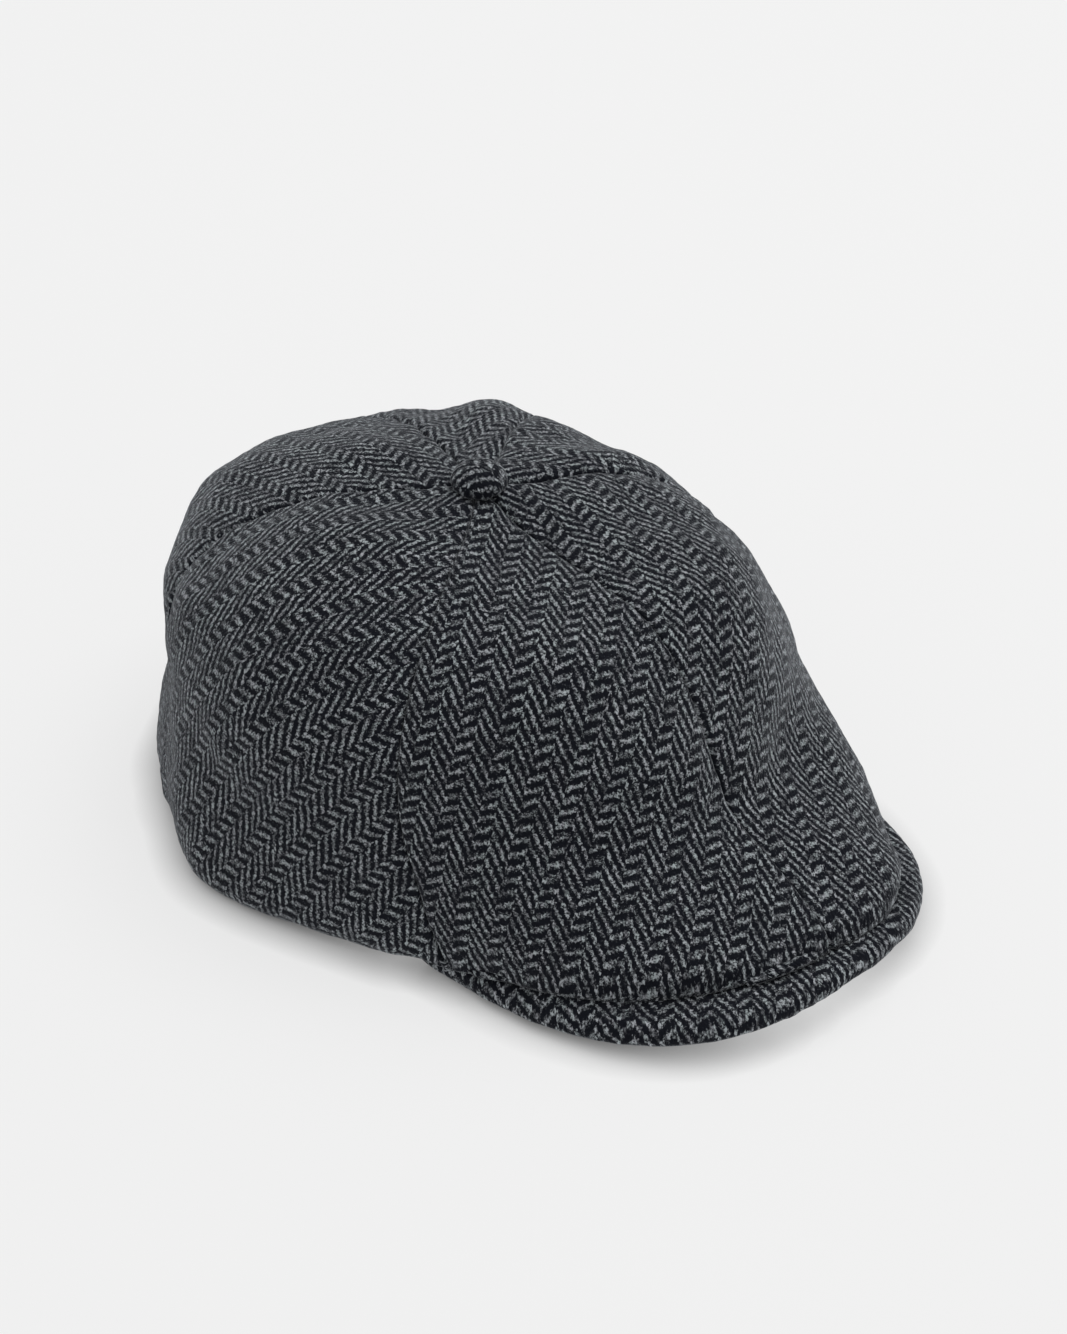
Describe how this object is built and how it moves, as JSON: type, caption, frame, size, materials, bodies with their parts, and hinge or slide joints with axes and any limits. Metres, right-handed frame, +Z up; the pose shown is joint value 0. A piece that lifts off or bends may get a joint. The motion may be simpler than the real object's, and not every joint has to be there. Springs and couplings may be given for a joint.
{
  "type": "newsboy cap",
  "caption": "Herringbone tweed newsboy cap: a panelled crown folds forward over a stiff visor and snaps down onto it, with lining, sweatband and a covered button on top.",
  "frame": {"origin": "bottom centre of the bounding box, on the surface that the cap rests on", "axes": "+Z up, -Y the way the wearer faces, +X the wearer's left"},
  "size_m": [0.2028, 0.277, 0.1259],
  "materials": {
    "tweed": "brushed herringbone wool",
    "lining": "satin weave",
    "sweatband": "ribbed cotton tape",
    "label": "woven, blank",
    "board": "matt sheet",
    "steel": "plated"
  },
  "bodies": {
    "cap": {"crown_panel_front_right": "tweed", "crown_panel_side_right": "tweed", "crown_panel_back_right": "tweed", "crown_panel_back_left": "tweed", "crown_panel_side_left": "tweed", "crown_panel_front_left": "tweed", "lining_panel_front_right": "lining", "lining_panel_side_right": "lining", "lining_panel_back_right": "lining", "lining_panel_back_left": "lining", "lining_panel_side_left": "lining", "lining_panel_front_left": "lining", "sweatband": "sweatband", "size_label": "label", "button_cover": "tweed", "button_shell": "steel", "button_back_plate": "steel", "button_washer": "steel", "snap_socket": "steel", "snap_socket_cap": "steel"},
    "visor": {"visor_top_cover": "tweed", "visor_board": "board", "visor_under_cover": "tweed", "snap_stud": "steel", "snap_stud_post": "steel"}
  },
  "joints": [
    {"name": "visor_hinge", "type": "hinge", "parent": "cap", "child": "visor", "pos_m": [0, -0.0275, 0.004], "axis": [1, 0, 0], "range_deg": [0, 12]}
  ]
}
